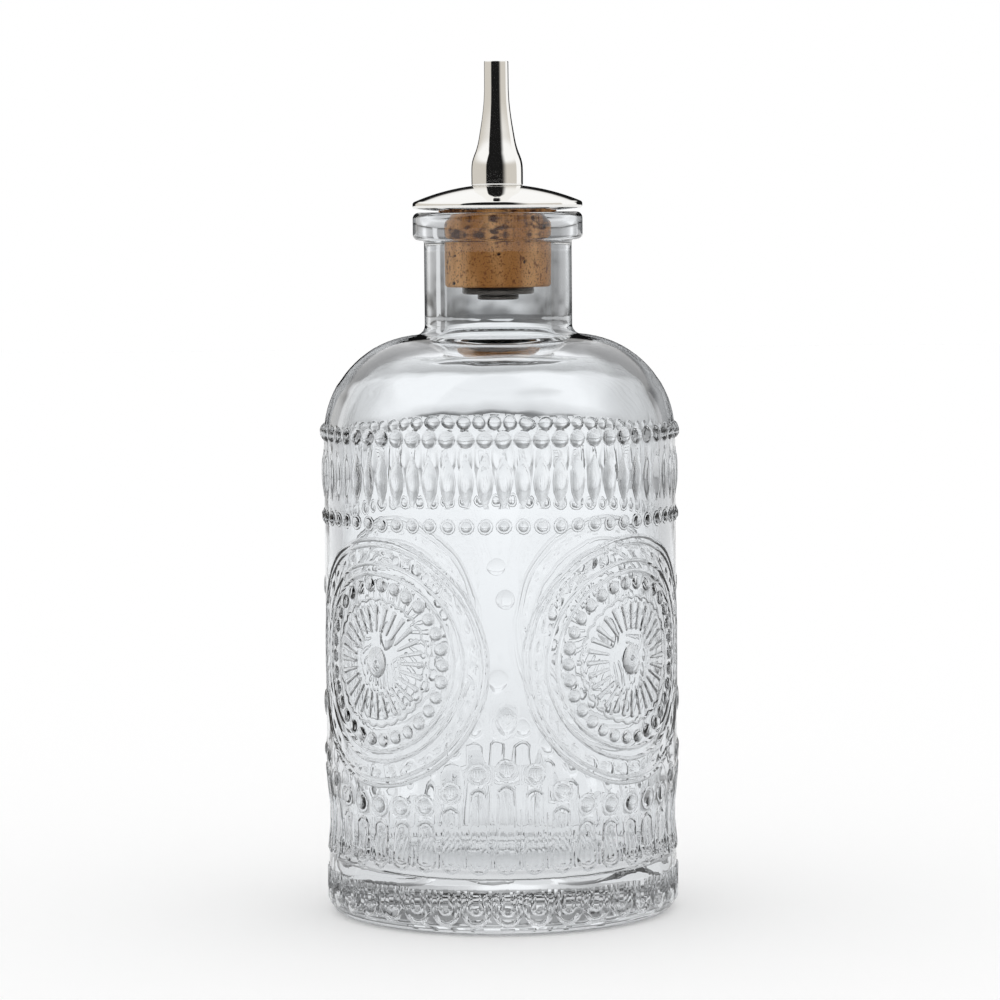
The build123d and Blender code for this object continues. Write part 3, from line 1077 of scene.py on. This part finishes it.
@dataclass
class Studio:
    """White studio: floor, surrounding light and the camera at the photograph's view."""

    distance: float = 0.808
    eye_height: float = 0.1424
    tilt: float = 4.28
    roll: float = 0.5
    azimuth: float = -1.3
    focal_length: float = 146.2
    floor_size: float = 3.0
    floor_level: float = 0.9
    sweep_level: tuple[Point, ...] = ((0, 0.7), (0.25, 0.84), (0.6, 0.92), (1.1, 1), (2, 1), (3.9, 0.5))
    sweep_width: tuple[Point, ...] = ((0, 1), (0.18, 1), (0.3, 0.82), (0.45, 0.66), (0.8, 0.56), (3, 0.5))
    backdrop_level: tuple[Point, ...] = (
        (-2.2, 0.13), (-1.74, 0.15), (-1.4, 0.7), (-0.5, 0.9), (0, 1), (7, 1), (12, 0.4), (28, 0.4), (40, 1)
    )
    backdrop_width: tuple[Point, ...] = (
        (0, 1), (5, 1), (9, 0.72), (17, 0.55), (32, 0.45), (44, 0.32), (180, 0.4)
    )
    front_gap: tuple[float, float, float] = (-60, 60, 8)
    front_gap_share: float = 0.8
    side_strip: tuple[float, float, float] = (-147, -131, 3)
    side_strip_level: float = 0.75
    cool: Colour = (0.965, 0.98, 1, 1)
    panel: Colour = (0.64, 0.61, 0.56, 1)
    black: Colour = (0.01, 0.01, 0.01, 1)
    white: Colour = (1, 1, 1, 1)

    def camera(self) -> None:
        """Set up the camera."""
        data = bpy.data.cameras.new("studio_camera")
        data.lens = self.focal_length
        data.sensor_width = 36
        data.clip_start = 0.01
        eye = bpy.data.objects.new("studio_camera", data)
        bpy.context.scene.collection.objects.link(eye)
        place = Matrix.Rotation(math.radians(self.azimuth), 4, "Z")
        place = place @ Matrix.Translation((0, -self.distance, self.eye_height))
        place = place @ Matrix.Rotation(math.radians(90 - self.tilt), 4, "X")
        eye.matrix_world = place @ Matrix.Rotation(math.radians(-self.roll), 4, "Z")
        bpy.context.scene.camera = eye

    def floor(self) -> None:
        """Lay the white floor, which keeps the object's shadow."""
        bm = bmesh.new()
        bmesh.ops.create_grid(bm, x_segments=1, y_segments=1, size=self.floor_size)
        floor = object_from(bm, "studio_floor")
        surface = Surface("studio_white")
        level = self.floor_level
        rays = surface.add("ShaderNodeLightPath").outputs
        through = rays["Is Transmission Ray"]
        place = surface.place()
        across = surface.math("ABSOLUTE", surface.add("ShaderNodeSeparateXYZ", Vector=place).outputs["X"])
        away = surface.add("ShaderNodeVectorMath", operation="LENGTH", Vector=place).outputs["Value"]
        seen = surface.math(
            "MULTIPLY", surface.levels(away, self.sweep_level), surface.levels(across, self.sweep_width)
        )
        glow = surface.math("MULTIPLY", rays["Is Camera Ray"], 1 - level)
        surface.set(
            Base_Color=surface.mix(through, (level, level, level, 1), self.black),
            Roughness=1.0,
            Specular_IOR_Level=0.0,
            Emission_Color=surface.mix(through, self.white, self.cool),
            Emission_Strength=surface.math("MULTIPLY_ADD", seen, through, glow),
        )
        dress(floor, surface.material)

    def world(self) -> None:
        """Surround the object with soft light, pale panels and dark gaps."""
        world = bpy.data.worlds.new("studio_world")
        bpy.context.scene.world = world
        world.use_nodes = True
        graph = Graph(world.node_tree)
        rays = graph.add("ShaderNodeLightPath").outputs
        facing = graph.add("ShaderNodeTexCoord").outputs["Generated"]
        x, y, z = graph.add("ShaderNodeSeparateXYZ", Vector=facing).outputs
        azimuth = graph.math("DEGREES", graph.math("ARCTAN2", x, graph.math("MULTIPLY", y, -1.0)))
        height = graph.math("DEGREES", graph.math("ARCSINE", z))
        mirrored = self.mirrored_light(graph, azimuth, height)
        refracted = self.refracted_light(graph, azimuth, height)
        mirrored_first = graph.math("GREATER_THAN", rays["Glossy Depth"], 0.5)
        front = graph.math("MULTIPLY", mirrored_first, graph.between(azimuth, *self.front_gap))
        refracted = graph.mix(graph.math("MULTIPLY", front, self.front_gap_share), refracted, self.black)
        refracted = graph.mix(graph.math("GREATER_THAN", rays["Diffuse Depth"], 0.5), refracted, self.white)
        colour = graph.mix(rays["Is Glossy Ray"], self.white, mirrored)
        colour = graph.mix(rays["Is Transmission Ray"], colour, refracted)
        graph.feed(world.node_tree.nodes["Background"].inputs["Color"], colour)

    def mirrored_light(
        self, graph: Graph, azimuth: bpy.types.NodeSocket, height: bpy.types.NodeSocket
    ) -> bpy.types.NodeSocket:
        """Light that polished faces mirror.

        Args:
            graph: The world's nodes.
            azimuth: Direction round the object, from the front, in degrees.
            height: Elevation, in degrees.

        Returns:
            The colour's socket.
        """
        front = graph.math("MULTIPLY", graph.fade(azimuth, -54, -50), graph.fade(azimuth, 46, 20))
        front = graph.math("MULTIPLY", front, graph.fade(height, 84, 74))
        beside = graph.between(azimuth, -150, 135, 2)
        back = graph.math("MULTIPLY", graph.math("SUBTRACT", 1.0, beside), graph.fade(height, 21, 17))
        bright = graph.math("MAXIMUM", graph.between(azimuth, 97, 135, 2), graph.fade(height, 8, 28))
        colour = graph.mix(bright, self.panel, self.white)
        return graph.mix(graph.math("MAXIMUM", front, back), colour, self.black)

    def refracted_light(
        self, graph: Graph, azimuth: bpy.types.NodeSocket, height: bpy.types.NodeSocket
    ) -> bpy.types.NodeSocket:
        """Light that is seen through the glass.

        Args:
            graph: The world's nodes.
            azimuth: Direction round the object, from the front, in degrees.
            height: Elevation, in degrees.

        Returns:
            The colour's socket.
        """
        aside = graph.math("SUBTRACT", 180.0, graph.math("ABSOLUTE", azimuth))
        level = graph.math(
            "MULTIPLY", graph.levels(height, self.backdrop_level), graph.levels(aside, self.backdrop_width)
        )
        strip = graph.math("MULTIPLY", graph.between(azimuth, *self.side_strip), self.side_strip_level)
        level = graph.math("MAXIMUM", level, strip)
        level = graph.math("MAXIMUM", level, graph.fade(height, 28, 42))
        return graph.mix(level, self.black, self.cool)


def main() -> None:
    """Build the dressed bottle and its studio."""
    logging.basicConfig(level=logging.INFO, format="%(name)s %(message)s")
    bpy.context.scene.view_settings.view_transform = "Standard"
    nickel = PolishedNickel().material()
    steel = TurnedSteel().material()
    settle(ReliefBottle().build(), FirePolishedGlass().material(), Body.BOTTLE, Slot.GLASS, "glass_bottle")
    stopper = Stopper()
    settle(stopper.cork(), NaturalCork().material(), Body.STOPPER, Slot.CORK, "cork_stopper")
    settle(stopper.cap(), nickel, Body.STOPPER, Slot.POLISHED, "dome_cap")
    settle(stopper.spout(), nickel, Body.STOPPER, Slot.POLISHED, "dasher_spout")
    washer = stopper.ring("retaining_washer", stopper.washer_radius, "turned_washer")
    settle(washer, steel, Body.STOPPER, Slot.STEEL, "retaining_washer")
    nut = stopper.ring("stem_nut", stopper.nut_radius, "turned_nut")
    settle(nut, steel, Body.STOPPER, Slot.STEEL, "stem_nut")
    dress(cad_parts["stem_tube"], steel)
    dress(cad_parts["orifice_plug"], PlugPlastic().material())
    studio = Studio()
    studio.camera()
    studio.floor()
    studio.world()


if __name__ == "__main__":
    main()
